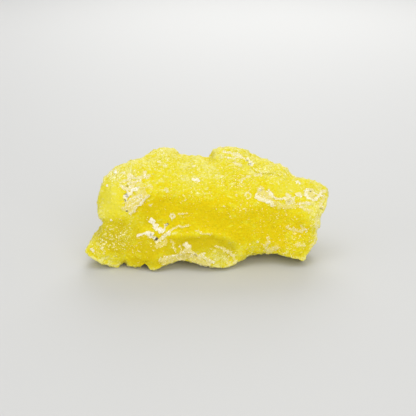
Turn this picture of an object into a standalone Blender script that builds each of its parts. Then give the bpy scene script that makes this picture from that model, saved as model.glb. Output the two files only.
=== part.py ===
"""A hand specimen of yellow brucite: one lumpy, translucent mass with a show face, lying on its broken base.

The mass is laid out on its show face, which leans back from the vertical. A place on it has three numbers
in millimetres: along the face to the right, up the face, and out of the face towards the viewer. The lumps
it grew as are melted together and trimmed to the broken rim and to the flat breaks of the back. Ridges and
hollows are pressed into the face, and the underside is cut off level where it touches the ground.
"""

from math import radians

import bmesh
import bpy
import numpy as np
from mathutils import Matrix, Vector, noise

MM = 0.001

# Driving dimensions, in millimetres.
FACE_LEAN = 21.0  # degrees that the show face leans back from the vertical
FOOT_LINE = -12.85  # depth at which the face meets the ground, measured from the middle of the stone
MIDDLE = 0.0  # where the face's own middle lies along the stone
MELT_VOXEL = 0.8  # cell in which the lumps are melted together
SKIN_VOXEL = 0.7  # cell of the trimmed skin
TRIANGLES = 9000
GROUND_SIDE = 220.0  # side of the block that the ground is cut with

# The lumps of the mass: centre (along, up, out), half-sizes in the same directions, turn in the face.
LUMPS = {
    "heart": ((0.0, 17.0, -8.5), (33.0, 16.0, 12.0), -4.0),
    "upper_left": ((-20.5, 21.5, -7.0), (14.0, 14.5, 10.5), 0.0),
    "lower_left": ((-22.0, 9.5, -7.6), (14.0, 10.0, 9.5), 15.0),
    "left_toe": ((-29.5, 6.5, -6.3), (9.5, 7.0, 7.5), 30.0),
    "top_left_knob": ((-13.0, 30.5, -8.5), (8.0, 8.0, 7.5), 0.0),
    "saddle": ((-2.0, 26.0, -8.5), (12.0, 9.5, 9.0), 0.0),
    "top_right_knob": ((7.5, 29.0, -9.0), (8.5, 9.5, 8.0), 0.0),
    "right_shoulder": ((16.5, 25.5, -9.0), (12.0, 9.5, 9.0), -22.0),
    "right_block": ((28.3, 18.5, -9.5), (12.0, 13.0, 9.5), -15.0),
    "right_foot": ((26.5, 7.0, -9.5), (8.5, 7.5, 9.0), 20.0),
    "belly": ((0.0, 7.5, -5.0), (12.5, 8.5, 8.5), -8.0),
    "left_foot": ((-15.5, 4.5, -6.3), (9.5, 8.0, 8.0), 0.0),
    "back_left": ((-13.0, 18.0, -17.0), (17.0, 13.0, 8.0), 10.0),
    "back_right": ((13.0, 16.0, -18.0), (18.0, 12.0, 8.0), -10.0),
    "heel": ((2.0, 10.0, -19.0), (20.0, 9.0, 7.0), 0.0),
}

# The broken rim, clockwise from the left tip: (along, up).
RIM = (
    (-36.9, 5.7), (-34.4, 10.3), (-32.1, 14.2), (-32.9, 18.0), (-33.3, 21.4), (-32.3, 25.2),
    (-30.5, 28.8), (-26.7, 31.6), (-22.6, 33.4), (-19.0, 34.2), (-17.5, 35.9), (-14.4, 37.1),
    (-10.8, 37.3), (-9.3, 36.7), (-8.2, 35.5), (-5.2, 34.8), (-3.6, 35.1), (0.5, 34.3),
    (1.0, 35.4), (2.5, 36.7), (5.1, 37.5), (8.2, 37.4), (11.7, 36.8), (13.3, 35.9),
    (17.4, 33.9), (21.5, 32.6), (24.0, 31.1), (26.1, 28.8), (29.2, 28.0), (32.7, 27.2),
    (36.3, 25.5), (37.0, 24.2), (36.8, 21.6), (35.5, 18.5), (34.2, 16.5), (33.8, 12.9),
    (33.0, 8.8), (30.9, 5.7), (28.9, 2.9), (26.1, 3.7), (21.5, 5.0), (17.4, 5.1),
    (13.3, 4.5), (9.2, 2.4), (6.6, 0.7), (2.0, 1.1), (-3.1, 2.4), (-8.2, 3.3),
    (-12.3, 1.9), (-15.9, 0.0), (-18.5, 1.6), (-23.1, 0.8), (-25.4, 1.7), (-27.5, 0.3),
    (-31.8, 2.4), (-34.9, 4.5),
)

# Strokes pressed into the show face: route (along, up), reach to each side, height out of the face.
FACE_STROKES = {
    "left_brow": (((-33.0, 18.0), (-20.0, 18.5), (-15.0, 23.5)), 5.5, 1.1),
    "right_brow": (((-15.0, 23.5), (-4.0, 24.0), (4.0, 19.5), (28.0, 18.0)), 5.5, 1.1),
    "long_hollow": (((-20.0, 17.5), (-8.0, 17.0), (8.0, 14.5), (24.0, 12.5)), 8.0, -1.6),
    "neck": (((-35.0, 14.0), (-30.0, 14.5), (-25.0, 14.0)), 4.0, -1.6),
    "upper_left_swell": (((-29.0, 25.0), (-26.0, 19.0)), 6.0, 0.9),
    "patch_scarp": (((-24.0, 26.0), (-20.5, 22.0), (-21.0, 18.0)), 3.2, -1.0),
    "belly_crease": (((-13.0, 8.5), (-8.0, 11.3), (1.0, 11.0), (8.5, 8.0)), 3.2, -1.1),
    "right_shelf": (((15.0, 22.5), (20.0, 21.0), (26.0, 21.0)), 3.0, 0.9),
    "shoulder_crease": (((12.5, 30.5), (19.0, 29.4), (27.0, 27.0)), 2.6, -0.9),
    "knob_crease": (((0.5, 35.5), (1.5, 31.0)), 3.0, -1.3),
    "left_knob_crease": (((-8.0, 36.5), (-9.5, 32.0)), 2.6, -0.9),
    "toe_notch": (((-25.4, 1.0), (-25.0, 4.0)), 1.6, -1.0),
    "foot_notch": (((-18.5, 1.0), (-18.0, 4.5)), 1.6, -1.0),
    "lower_right_dent": (((17.0, 6.5), (20.0, 8.5)), 3.5, -0.8),
    "patch_pit": (((-24.8, 22.5), (-24.0, 22.5)), 2.2, -1.0),
    "upper_patch_pit": (((-22.0, 27.0), (-21.5, 26.5)), 1.8, -0.7),
    "crust_pit": (((-14.8, 13.0), (-14.2, 12.6)), 2.2, -0.9),
    "shelf_pit": (((13.0, 20.0), (13.6, 20.0)), 2.0, -0.7),
    "far_right_pit": (((30.5, 21.0), (31.0, 20.5)), 2.2, -0.8),
    "knob_pit": (((13.0, 33.0), (13.5, 32.5)), 2.0, -0.8),
}
STROKE_WANDER = (6.0, 1.8)  # how a stroke strays from its route: size of the bends, and how far

# Corners of the block that the broken back and underside are cut to: along, back from the face's foot, up.
BREAK_CORNERS = (
    (-50.0, -20.0, -6.0), (50.0, -20.0, -6.0), (-50.0, -20.0, 50.0), (50.0, -20.0, 50.0),
    (-34.0, 12.0, 2.5), (-20.0, 19.5, 1.5), (-13.0, 7.0, -1.4), (13.0, 9.0, -1.4),
    (9.0, 21.0, 0.8), (30.0, 9.0, -0.6), (31.0, 16.0, 2.5), (-38.5, 10.0, 15.0),
    (-21.0, 25.0, 12.0), (7.0, 27.0, 14.0), (29.0, 23.0, 10.0), (40.0, 10.0, 12.0),
    (-30.0, 20.0, 30.0), (-8.0, 25.0, 25.0), (17.0, 24.5, 26.0), (38.5, 17.0, 29.0),
    (-15.0, 21.5, 38.0), (12.0, 22.0, 38.0),
)

# Noise on the skin: sizes of the bumps, and how far they reach out.
SWELLINGS = ((11.0, 1.2), (5.0, 0.7))
GRAIN = ((3.0, 0.25), (1.7, 0.28))

YELLOW = (0.82, 0.66, 0.04, 1.0)


def face_frame():
    """Matrix from face places in millimetres to the stone's own frame in metres."""
    lean = Matrix.Rotation(radians(90.0 - FACE_LEAN), 4, "X")
    return Matrix.Translation((MIDDLE * MM, FOOT_LINE * MM, 0.0)) @ lean @ Matrix.Scale(MM, 4)


def foot_frame():
    """Matrix from millimetres along, back from the face's foot and up, to the stone's own frame in metres."""
    return Matrix.Translation((MIDDLE * MM, FOOT_LINE * MM, 0.0)) @ Matrix.Scale(MM, 4)


def new_object(name, mesh, collection):
    made = bpy.data.objects.new(name, mesh)
    collection.objects.link(made)
    return made


def settle(stone):
    """Applies the stone's modifiers to its mesh."""
    graph = bpy.context.evaluated_depsgraph_get()
    old = stone.data
    stone.data = bpy.data.meshes.new_from_object(stone.evaluated_get(graph))
    stone.modifiers.clear()
    bpy.data.meshes.remove(old)


def remesh(stone, voxel):
    """Closes the stone's skin afresh, in cells of the given size."""
    skin = stone.modifiers.new("skin", "REMESH")
    skin.mode = "VOXEL"
    skin.voxel_size = voxel * MM


def melted_lumps(collection):
    """All lumps in one mesh, melted into one skin."""
    mesh = bpy.data.meshes.new("brucite")
    shape = bmesh.new()
    for centre, half_sizes, turn in LUMPS.values():
        place = face_frame() @ Matrix.Translation(centre) @ Matrix.Rotation(radians(turn), 4, "Z")
        bmesh.ops.create_icosphere(
            shape, subdivisions=4, radius=1.0, matrix=place @ Matrix.Diagonal((*half_sizes, 1.0))
        )
    shape.to_mesh(mesh)
    shape.free()
    stone = new_object("brucite", mesh, collection)
    remesh(stone, MELT_VOXEL)
    settle(stone)
    return stone


def rim_cutter(collection):
    """The rim's outline, drawn out through the whole thickness of the stone."""
    outline = bpy.data.curves.new("rim_outline", "CURVE")
    outline.dimensions = "2D"
    outline.fill_mode = "BOTH"
    outline.extrude = 60.0
    spline = outline.splines.new("POLY")
    spline.points.add(len(RIM) - 1)
    for point, (along, up) in zip(spline.points, RIM):
        point.co = (along, up, 0.0, 1.0)
    spline.use_cyclic_u = True
    drawn = new_object("rim_outline", outline, collection)
    graph = bpy.context.evaluated_depsgraph_get()
    mesh = bpy.data.meshes.new_from_object(drawn.evaluated_get(graph))
    bpy.data.objects.remove(drawn)
    mesh.transform(face_frame())
    shape = bmesh.new()
    shape.from_mesh(mesh)
    bpy.data.meshes.remove(mesh)
    bmesh.ops.remove_doubles(shape, verts=shape.verts, dist=1e-6)
    bmesh.ops.recalc_face_normals(shape, faces=shape.faces)
    return as_cutter("rim_cutter", shape, collection)


def as_cutter(name, shape, collection):
    mesh = bpy.data.meshes.new(name)
    shape.to_mesh(mesh)
    shape.free()
    cutter = new_object(name, mesh, collection)
    cutter.hide_render = True
    cutter.display_type = "WIRE"
    return cutter


def break_block(collection):
    """The block with flat sides that the back and underside broke along."""
    shape = bmesh.new()
    for corner in BREAK_CORNERS:
        shape.verts.new(foot_frame() @ Vector(corner))
    hull = bmesh.ops.convex_hull(shape, input=shape.verts)
    inside = [part for part in hull["geom_interior"] if isinstance(part, bmesh.types.BMVert)]
    bmesh.ops.delete(shape, geom=inside, context="VERTS")
    bmesh.ops.recalc_face_normals(shape, faces=shape.faces)
    return as_cutter("break_block", shape, collection)


def ground_cutter(collection):
    """A block whose top is the ground."""
    shape = bmesh.new()
    side = GROUND_SIDE * MM
    bmesh.ops.create_cube(shape, size=side, matrix=Matrix.Translation((0.0, 0.0, -side / 2)))
    return as_cutter("ground_cutter", shape, collection)


def trim(stone, cutter, operation):
    cut = stone.modifiers.new(cutter.name, "BOOLEAN")
    cut.operation = operation
    cut.object = cutter
    cut.solver = "EXACT"
    cut.use_self = True


def distance_to_route(points, route):
    """Distance of each (along, up) point to a route of straight runs."""
    nearest = np.full(len(points), np.inf)
    for start, end in zip(route[:-1], route[1:]):
        start, run = np.array(start), np.array(end) - np.array(start)
        share = np.clip((points - start) @ run / (run @ run), 0.0, 1.0)
        nearest = np.minimum(nearest, np.linalg.norm(points - start - share[:, None] * run, axis=1))
    return nearest


def strayed(points):
    """The (along, up) points moved about by noise, so that a stroke measured at them wanders."""
    size, reach = STROKE_WANDER
    moved = [[noise.noise(Vector((*point, layer)) / size) for layer in (40.0, 80.0)] for point in points]
    return points + reach * np.array(moved)


def press_strokes(stone):
    """Presses the strokes into the skin that looks out of the face."""
    mesh = stone.data
    count = len(mesh.vertices)
    places = np.empty(count * 3)
    mesh.vertices.foreach_get("co", places)
    places = places.reshape(-1, 3)
    normals = np.empty(count * 3, np.float32)
    mesh.vertex_normals.foreach_get("vector", normals)
    normals = normals.reshape(-1, 3).astype(float)
    to_face = np.array(face_frame().inverted())
    on_face = strayed((places @ to_face[:3, :3].T + to_face[:3, 3])[:, :2])
    out_of_face = np.array(face_frame().to_3x3().normalized().col[2])
    facing = np.clip((normals @ out_of_face + 0.1) / 0.4, 0.0, 1.0)
    move = np.zeros(count)
    for route, reach, height in FACE_STROKES.values():
        near = np.clip(1.0 - (distance_to_route(on_face, route) / reach) ** 2, 0.0, 1.0)
        move += height * near**2
    places += normals * (move * facing * MM)[:, None]
    mesh.vertices.foreach_set("co", places.ravel())
    mesh.update()


def roughen(stone, bumps):
    """Moves the skin in and out with noise."""
    to_foot = foot_frame().inverted()
    for vertex in stone.data.vertices:
        place = to_foot @ vertex.co
        move = sum(reach * noise.noise(place / size) for size, reach in bumps)
        vertex.co += vertex.normal * (move * MM)
    stone.data.update()


def brucite_material():
    material = bpy.data.materials.new("brucite_yellow")
    material.use_nodes = True
    shader = material.node_tree.nodes["Principled BSDF"]
    shader.inputs["Base Color"].default_value = YELLOW
    shader.inputs["Roughness"].default_value = 0.55
    shader.inputs["Metallic"].default_value = 0.0
    return material


def build():
    for left_over in list(bpy.data.objects):
        bpy.data.objects.remove(left_over)
    scene = bpy.context.scene.collection
    specimen = bpy.data.collections.new("brucite_specimen")
    cutters = bpy.data.collections.new("cutters")
    scene.children.link(specimen)
    scene.children.link(cutters)

    stone = melted_lumps(specimen)
    press_strokes(stone)
    trim(stone, break_block(cutters), "INTERSECT")
    remesh(stone, MELT_VOXEL)
    settle(stone)
    roughen(stone, SWELLINGS)
    remesh(stone, SKIN_VOXEL)
    trim(stone, rim_cutter(cutters), "INTERSECT")
    remesh(stone, SKIN_VOXEL)
    wear = stone.modifiers.new("wear", "SMOOTH")
    wear.factor = 0.5
    wear.iterations = 4
    settle(stone)
    roughen(stone, GRAIN)
    fewer = stone.modifiers.new("fewer_faces", "DECIMATE")
    fewer.ratio = TRIANGLES / (2 * len(stone.data.polygons))
    unfold = stone.modifiers.new("unfold", "SMOOTH")
    unfold.factor = 0.3
    unfold.iterations = 1
    trim(stone, ground_cutter(cutters), "DIFFERENCE")
    stone.data.materials.append(brucite_material())


build()
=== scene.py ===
"""The looks of a hand specimen of yellow brucite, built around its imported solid.

The stone's own skin comes first, with its colours and the scabs of host rock on it. Then come the crumbs
on those scabs and the sugar of small crystals, and last the floor, the lights and the camera.
"""

from math import radians

import bmesh
import bpy
import numpy as np
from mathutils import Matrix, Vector, noise


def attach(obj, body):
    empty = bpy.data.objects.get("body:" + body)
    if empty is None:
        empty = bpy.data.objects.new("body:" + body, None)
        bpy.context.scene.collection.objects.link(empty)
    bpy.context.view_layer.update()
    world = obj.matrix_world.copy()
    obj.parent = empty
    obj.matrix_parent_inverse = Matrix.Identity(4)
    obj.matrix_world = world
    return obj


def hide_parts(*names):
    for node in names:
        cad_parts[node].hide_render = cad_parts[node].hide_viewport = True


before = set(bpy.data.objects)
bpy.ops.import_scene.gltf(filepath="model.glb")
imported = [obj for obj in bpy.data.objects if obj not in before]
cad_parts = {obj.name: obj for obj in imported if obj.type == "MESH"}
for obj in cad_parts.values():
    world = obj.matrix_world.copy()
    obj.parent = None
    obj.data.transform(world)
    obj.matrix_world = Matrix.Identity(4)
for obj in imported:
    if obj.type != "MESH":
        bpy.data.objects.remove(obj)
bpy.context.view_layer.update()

# ---------------------------------------------------------------------------------------------------------
# The stone's skin. Massive brucite, translucent lemon yellow, grown as one lumpy mass and broken off its
# host rock. The broken rim is paler than the thick middle, partly with painted glow where light passes
# through the thin edge. Painted shade darkens the yellow in its hollows, under the belly crest and where
# the face turns from the light. Scabs of cream and white rock are left on it, pitted where grains fell out
# of them, with painted shade in the dark pits.
# ---------------------------------------------------------------------------------------------------------

MM = 0.001
WELD = 0.001 * MM  # corners nearer than this are one
SKIN_CELL = 0.31 * MM  # cell of the skin, small enough to hold the scabs
SKIN_EASING = 6  # passes that ease the flat faces of the solid
FACE_EASING = 260  # passes that ease the lumps of the show face
FACE_EASED = 0.85  # how far the face goes to its eased form

# How squarely the skin looks out of the show face, as a cosine, where each of these starts and is whole.
SHOW_FACE = (-0.10, 0.25)
EASED_FACE = (0.45, 0.80)
SWELLING_FACE = (0.35, 0.75)
INSIDE_RIM = (0.15, 0.60)
BEFORE_BACK = (-0.60, -0.10)

# The marks on the show face are laid out as an eye in front of it sees them, in millimetres along and up
# at the distance of the face's own plane.
EYE = np.array([0.0003, -0.28261, 0.12606])
EYE_DOWN = radians(21.4)
EYE_AWAY = 0.303
AHEAD = np.array([0.0, np.cos(EYE_DOWN), -np.sin(EYE_DOWN)])
ABOVE = np.array([0.0, np.sin(EYE_DOWN), np.cos(EYE_DOWN)])
SEEN_MIDDLE = (0.30, 18.94)

# Scabs of host rock: (route, reach to each side, how whole it is, how white it is). A scab ends at
# SCAB_EDGE times its reach and fades over the last SCAB_FADE of it, and the marks below do the like.
SCAB_EDGE = 1.35
SCAB_FADE = 0.7
SCABS = (
    # the big scab on the left lobe: strands above, a wedge below
    (((-23.6, 28.6), (-21.5, 28.0), (-19.4, 28.0)), 0.50, 1.0, 0.6),
    (((-19.2, 28.2), (-18.8, 29.8)), 0.55, 0.9, 0.6),
    (((-18.8, 28.3), (-17.6, 28.6)), 0.45, 0.85, 0.5),
    (((-26.0, 26.6), (-25.0, 27.3), (-23.8, 27.5)), 0.38, 0.85, 0.5),
    (((-26.2, 25.6), (-24.9, 24.8), (-23.2, 24.9), (-22.3, 25.5)), 0.50, 1.0, 0.6),
    (((-24.0, 26.3), (-22.2, 26.9), (-20.4, 27.0)), 0.35, 0.9, 0.6),
    (((-22.8, 26.0), (-20.6, 26.3), (-19.6, 25.7)), 0.4, 0.55, 0.3),
    (((-25.1, 22.3), (-24.4, 22.4), (-23.4, 23.2), (-22.4, 24.2), (-21.2, 24.9)), 0.45, 1.0, 1.0),
    (((-23.7, 18.8), (-22.7, 20.6), (-20.8, 22.2), (-19.4, 23.0)), 1.6, 0.75, 0.15),
    (((-17.8, 22.8), (-20.0, 20.6), (-21.6, 19.2), (-22.9, 17.8)), 0.42, 1.0, 0.6),
    (((-24.2, 21.0), (-22.0, 22.0), (-19.8, 22.8)), 0.3, 0.9, 0.7),
    (((-23.6, 19.6), (-21.8, 20.6), (-20.4, 21.8)), 0.25, 0.9, 0.7),
    (((-24.8, 21.0), (-24.3, 19.6), (-24.2, 17.8)), 0.40, 0.75, 0.35),
    (((-24.2, 17.6), (-23.0, 17.5)), 0.38, 0.75, 0.4),
    (((-18.2, 25.2), (-16.6, 25.3)), 0.6, 0.5, 0.3),
    # the white crumbs left of the middle
    (((-17.1, 15.3), (-16.7, 15.0)), 0.78, 1.0, 1.0),
    (((-16.0, 13.8), (-15.3, 13.6)), 0.60, 1.0, 0.95),
    (((-15.0, 12.6), (-14.0, 12.0)), 0.66, 1.0, 1.0),
    (((-13.9, 11.7), (-13.1, 12.3)), 0.48, 0.95, 0.9),
    (((-12.9, 13.1), (-12.3, 13.9)), 0.40, 0.95, 0.7),
    (((-21.0, 10.6), (-19.6, 11.0), (-17.8, 11.5), (-16.4, 11.2)), 0.32, 1.0, 0.95),
    (((-17.8, 10.9), (-16.9, 10.5), (-15.9, 9.8)), 0.38, 0.9, 0.8),
    (((-15.6, 8.4), (-14.2, 9.2), (-13.0, 10.2), (-11.8, 11.2)), 0.45, 0.9, 0.7),
    (((-15.2, 7.4), (-13.6, 7.8), (-12.4, 9.2)), 0.6, 0.55, 0.15),
    (((-11.2, 11.9), (-10.0, 12.7), (-9.1, 13.4), (-7.3, 13.3), (-5.6, 13.8)), 0.35, 0.65, 0.45),
    (((-8.8, 17.2), (-7.2, 17.2), (-6.0, 17.4)), 0.3, 0.55, 0.4),
    (((-7.6, 16.4), (-6.8, 15.4)), 0.3, 0.5, 0.4),
    (((-3.8, 12.2), (-1.0, 11.0), (1.2, 11.2)), 0.35, 0.5, 0.35),
    # the streak along the foot of the belly
    (((-14.2, 2.9), (-12.4, 3.9), (-10.6, 4.4), (-8.8, 4.6), (-7.4, 5.4), (-6.3, 6.4)), 0.55, 0.8, 0.4),
    (((-6.4, 7.6), (-5.6, 7.3)), 0.6, 0.95, 0.75),
    (((-6.0, 6.8), (-4.9, 5.9), (-3.9, 4.9), (-2.4, 4.3), (-1.2, 4.6)), 0.6, 0.8, 0.45),
    (((-13.2, 2.2), (-10.4, 3.2), (-8.0, 4.0)), 0.7, 0.72, 0.15),
    (((-7.2, 4.4), (-4.6, 3.8), (-2.2, 3.0), (0.2, 1.8)), 1.0, 0.62, 0.15),
    (((-1.2, 4.4), (0.3, 3.2), (1.8, 2.6)), 0.6, 0.8, 0.5),
    (((-10.7, 8.6), (-10.3, 7.2), (-9.5, 6.3)), 0.45, 0.6, 0.35),
    (((-8.6, 7.6), (-8.0, 7.0)), 0.4, 0.55, 0.35),
    (((3.2, 7.2), (4.6, 6.9), (5.6, 6.0), (6.8, 5.8), (7.6, 4.6)), 0.4, 0.65, 0.5),
    (((8.0, 4.6), (8.6, 2.4)), 0.5, 0.6, 0.45),
    (((6.2, 3.6), (6.6, 2.0)), 0.7, 0.45, 0.3),
    # the two scabs right of the middle
    (((16.3, 23.9), (17.6, 22.8), (18.9, 22.3)), 1.4, 0.66, 0.3),
    (((14.9, 22.4), (16.2, 21.6), (18.0, 21.2), (19.7, 20.2)), 0.6, 1.0, 0.8),
    (((15.2, 23.0), (15.8, 24.4), (17.0, 24.9)), 0.4, 0.8, 0.45),
    (((18.2, 23.9), (19.2, 23.6), (19.7, 22.6)), 0.45, 0.95, 0.8),
    (((20.6, 21.9), (22.6, 21.8), (24.0, 21.9)), 0.4, 0.9, 0.6),
    (((24.3, 22.9), (25.0, 22.2), (26.3, 21.8)), 0.5, 0.9, 0.65),
    (((24.6, 20.6), (26.0, 20.8)), 0.9, 0.75, 0.45),
    (((20.4, 20.6), (22.0, 19.6), (24.4, 19.2), (26.0, 19.7)), 0.8, 0.55, 0.15),
    # what is left at the right end
    (((30.2, 24.2), (29.8, 23.3), (30.6, 22.2), (31.8, 21.6)), 0.45, 1.0, 0.9),
    (((30.4, 24.3), (31.6, 24.5), (32.3, 23.6)), 0.40, 0.85, 0.45),
    (((31.1, 23.4), (31.7, 22.6)), 0.9, 0.6, 0.1),
    (((32.4, 21.4), (33.3, 21.8), (33.9, 22.6), (34.5, 23.7)), 0.42, 1.0, 0.85),
    (((33.0, 23.3), (33.6, 22.7)), 0.35, 0.9, 0.8),
    (((34.5, 23.7), (35.6, 23.9)), 0.45, 0.85, 0.6),
    (((35.3, 22.6), (34.9, 21.2), (34.3, 20.2)), 0.5, 0.75, 0.4),
    (((34.2, 20.0), (35.0, 18.8)), 0.45, 0.75, 0.5),
    (((27.2, 20.1), (29.2, 20.3), (31.4, 20.4)), 0.30, 1.0, 0.6),
    (((27.4, 19.4), (29.4, 19.3)), 0.25, 0.8, 0.4),
    (((29.4, 18.2), (31.4, 18.0)), 0.6, 0.6, 0.3),
    (((33.3, 16.4), (33.2, 13.9), (33.4, 12.0)), 0.5, 0.55, 0.5),
    (((33.0, 10.6), (32.6, 8.4), (31.4, 6.6)), 0.6, 0.5, 0.4),
    (((24.5, 13.0), (26.2, 12.4), (28.8, 11.9)), 0.5, 0.6, 0.4),
    (((28.6, 13.4), (30.0, 12.4)), 0.5, 0.55, 0.4),
    (((18.6, 9.8), (18.4, 8.4), (17.8, 6.6)), 0.6, 0.55, 0.4),
    (((18.6, 6.2), (20.6, 6.9)), 0.8, 0.7, 0.1),
    (((27.3, 7.9), (28.9, 7.7)), 0.6, 0.5, 0.4),
    # the streaks over the right knob and down to the shelf
    (((5.6, 36.0), (7.0, 35.5), (8.4, 35.1), (10.2, 34.9)), 0.5, 0.55, 0.75),
    (((4.4, 34.6), (6.4, 34.0), (8.6, 33.9)), 0.35, 0.45, 0.7),
    (((9.2, 34.4), (10.6, 34.2), (11.6, 33.6)), 0.35, 0.55, 0.7),
    (((12.4, 33.8), (13.2, 32.9), (13.8, 31.6)), 0.35, 0.85, 0.9),
    (((10.4, 27.4), (11.8, 28.2), (13.4, 28.6)), 0.40, 0.60, 0.5),
    (((8.4, 32.6), (9.8, 32.0)), 0.6, 0.7, 0.6),
    (((14.6, 29.0), (16.6, 28.8)), 0.45, 0.6, 0.4),
)

# Single flecks of the same rock: (place, reach, how whole, how white).
FLECKS = (
    ((-27.8, 29.9), 0.45, 1.0, 1.0),
    ((-25.2, 29.3), 0.4, 0.9, 0.9),
    ((-30.3, 25.7), 0.35, 0.9, 0.9),
    ((-29.1, 15.4), 0.4, 0.95, 0.9),
    ((-31.6, 6.8), 0.35, 0.9, 0.8),
    ((-35.2, 6.4), 0.3, 0.9, 0.8),
    ((-34.4, 5.9), 0.35, 0.9, 0.8),
    ((-14.4, 32.8), 0.5, 0.7, 0.6),
    ((-12.9, 32.1), 0.5, 0.65, 0.6),
    ((-4.0, 27.5), 0.6, 1.0, 0.9),
    ((-2.9, 27.4), 0.6, 1.0, 0.9),
    ((-4.3, 32.0), 0.6, 0.5, 0.4),
    ((-12.2, 24.5), 0.6, 0.6, 0.5),
    ((-17.3, 19.9), 0.6, 0.5, 0.4),
    ((27.2, 26.8), 0.45, 1.0, 1.0),
    ((28.1, 26.5), 0.35, 1.0, 1.0),
    ((16.2, 28.9), 0.5, 0.6, 0.6),
    ((15.3, 8.7), 0.4, 0.7, 0.6),
    ((33.0, 23.3), 0.4, 0.8, 0.7),
    ((8.9, 22.7), 0.45, 0.55, 0.4),
    ((2.9, 18.6), 0.3, 0.7, 0.7),
    ((5.1, 19.7), 0.3, 0.7, 0.7),
)

# Rings where a round crystal group lies in the skin: (place, radius, width, how whole).
RING_EDGE = 1.2
RING_FADE = 0.8
RING_WHITENESS = 0.6
RING_TRUE, RING_RAGGED = 0.6, 0.4  # how true and how ragged its round is
RINGS = (
    ((-10.5, 16.5), 0.50, 0.50, 0.9),
    ((12.5, 22.7), 0.90, 0.3, 0.55),
    ((27.9, 22.9), 0.55, 0.42, 0.75),
)

# Pits in the scabs: (place, reach, how dark the painted shade in it is, how grey).
PIT_EDGE = 1.4
PIT_FADE = 0.8
PITS = (
    ((-24.3, 22.7), 0.65, 0.6, 1.0),
    ((-24.8, 21.1), 0.4, 0.95, 0.0),
    ((-21.0, 25.2), 0.3, 0.75, 0.0),
    ((-24.1, 25.8), 0.3, 0.35, 0.5),
    ((-24.4, 17.8), 0.35, 0.7, 0.0),
    ((-12.2, 13.9), 0.45, 0.8, 0.6),
    ((-16.9, 10.8), 0.35, 0.75, 0.8),
    ((-16.3, 10.1), 0.3, 0.7, 0.6),
    ((-15.3, 9.6), 0.5, 1.0, 0.2),
    ((-19.4, 11.1), 0.25, 0.6, 0.8),
    ((-3.8, 4.6), 0.35, 0.55, 0.9),
    ((-3.4, 4.1), 0.3, 0.5, 0.9),
    ((16.4, 24.2), 0.35, 0.35, 0.3),
    ((20.5, 21.9), 0.35, 0.5, 0.2),
    ((24.7, 20.6), 0.35, 0.4, 0.2),
    ((25.6, 21.0), 0.25, 0.4, 0.2),
    ((31.5, 24.2), 0.3, 0.55, 0.1),
    ((34.4, 18.8), 0.3, 0.6, 0.1),
    ((35.0, 18.5), 0.25, 0.6, 0.1),
    ((12.2, 33.5), 0.3, 0.65, 0.9),
    ((13.2, 32.4), 0.35, 0.85, 0.7),
)

# Grooves and ridges too slight for the solid: (route, reach, height out of the skin).
FURROWS = (
    # the seam that sets the right shoulder off
    (((13.8, 31.2), (15.2, 29.6), (17.0, 29.4), (19.7, 29.2), (22.3, 28.9)), 0.5, -0.30),
    # the crest and the hollow under it on the belly
    (((-12.0, 11.0), (-3.7, 10.9), (1.3, 11.5), (5.6, 10.4), (8.6, 8.2), (10.2, 5.2)), 1.9, 0.60),
    (((-8.0, 8.0), (-3.0, 8.0), (1.0, 8.5), (4.0, 7.6), (6.4, 5.6), (7.2, 3.8)), 2.2, -0.80),
    # the step at the lower side of the left scab
    (((-17.6, 22.2), (-20.0, 19.8), (-22.6, 17.0)), 1.1, -0.35),
)

# Swells that ease the hollows of the solid: (place, reach along, reach up, height).
SWELLS = (
    ((-31.0, 14.5), 4.5, 4.5, 1.5),
    ((-25.5, 14.0), 4.0, 4.0, 0.9),
    ((-13.0, 17.5), 4.5, 3.0, 0.6),
    ((27.5, 13.0), 5.0, 5.0, 1.3),
    ((32.5, 16.5), 3.5, 3.5, 0.8),
    ((-30.0, 11.5), 3.0, 2.8, 0.8),
)

# Corners that stand further out, or lie further in, than the solid's: (place, reach, shift along and up).
CORNERS = (
    ((2.0, 36.7), 3.4, (-0.8, 0.3)),
    ((12.3, 36.8), 1.5, (0.5, 0.4)),
    ((-8.2, 36.0), 1.8, (-0.4, -0.2)),
    ((-31.8, 14.4), 1.6, (0.8, 0.0)),
    ((-32.4, 25.0), 3.5, (0.4, -0.2)),
    ((20.8, 32.8), 2.2, (-0.3, -0.7)),
    ((27.6, 28.6), 2.0, (-0.2, -0.5)),
    ((34.0, 16.4), 2.2, (-0.7, 0.0)),
    ((33.4, 11.8), 2.2, (-0.8, 0.1)),
    ((13.8, 4.6), 3.0, (0.0, 0.4)),
    ((-30.3, 1.4), 2.0, (0.1, 0.3)),
    ((-27.2, 1.0), 1.8, (0.1, -0.6)),
    ((-7.8, 3.3), 2.4, (0.0, 0.4)),
    ((29.5, 3.2), 2.2, (0.1, -0.5)),
)

# Nicks in the foot of the left side: (place, reach to each side, height). Each fades out upwards.
NICK_FADE = 2.2
NICKS = (
    ((-25.1, 1.2), 1.5, 1.3),
    ((-18.8, 1.2), 1.4, 1.1),
)
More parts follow.
